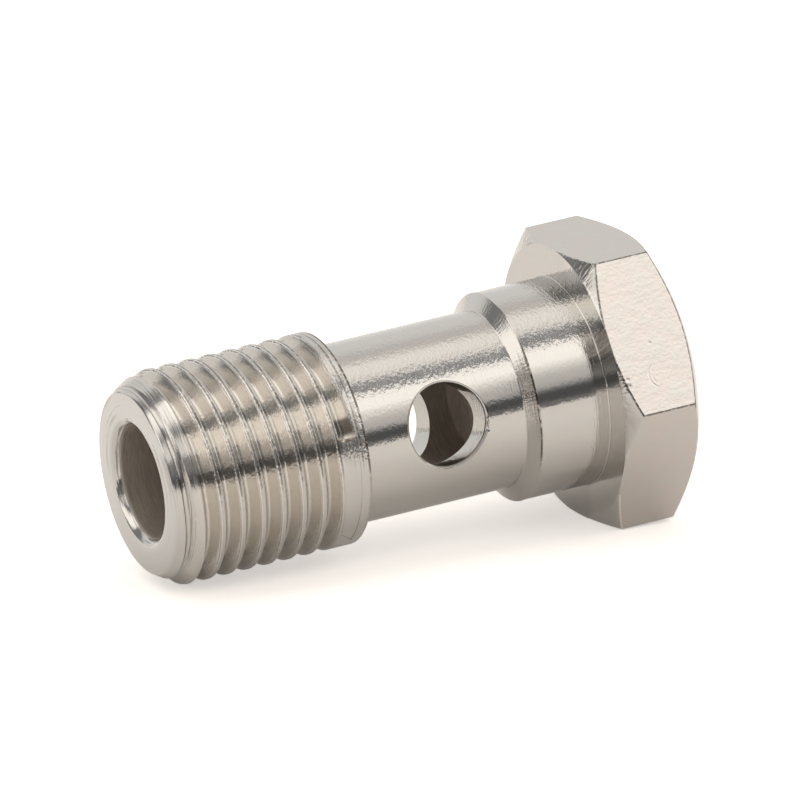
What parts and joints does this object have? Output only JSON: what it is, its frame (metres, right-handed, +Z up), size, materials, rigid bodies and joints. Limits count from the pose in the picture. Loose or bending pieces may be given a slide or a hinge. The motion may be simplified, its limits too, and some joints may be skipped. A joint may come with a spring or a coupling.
{
  "type": "banjo bolt",
  "caption": "Hollow bolt with a low hexagon head, a collar under it, a cross-drilled waist, a pipe-threaded end and a blind bore, for clamping a ring fitting to a port.",
  "frame": {"origin": "on the bolt's axis, in the plane of the seat under the head", "axes": "+Z is up as the bolt lies at rest on one flat of the head and on the start of the thread, +X runs towards the head, 4.08 degrees below the bolt's own axis, and +Y is across the bolt"},
  "size_m": [0.0347, 0.0196, 0.0173],
  "materials": {
    "plated_brass": "bright nickel plating over turned and drilled brass, with fine tool marks"
  },
  "bodies": {
    "root": {"banjo_bolt": "plated_brass"}
  },
  "joints": []
}
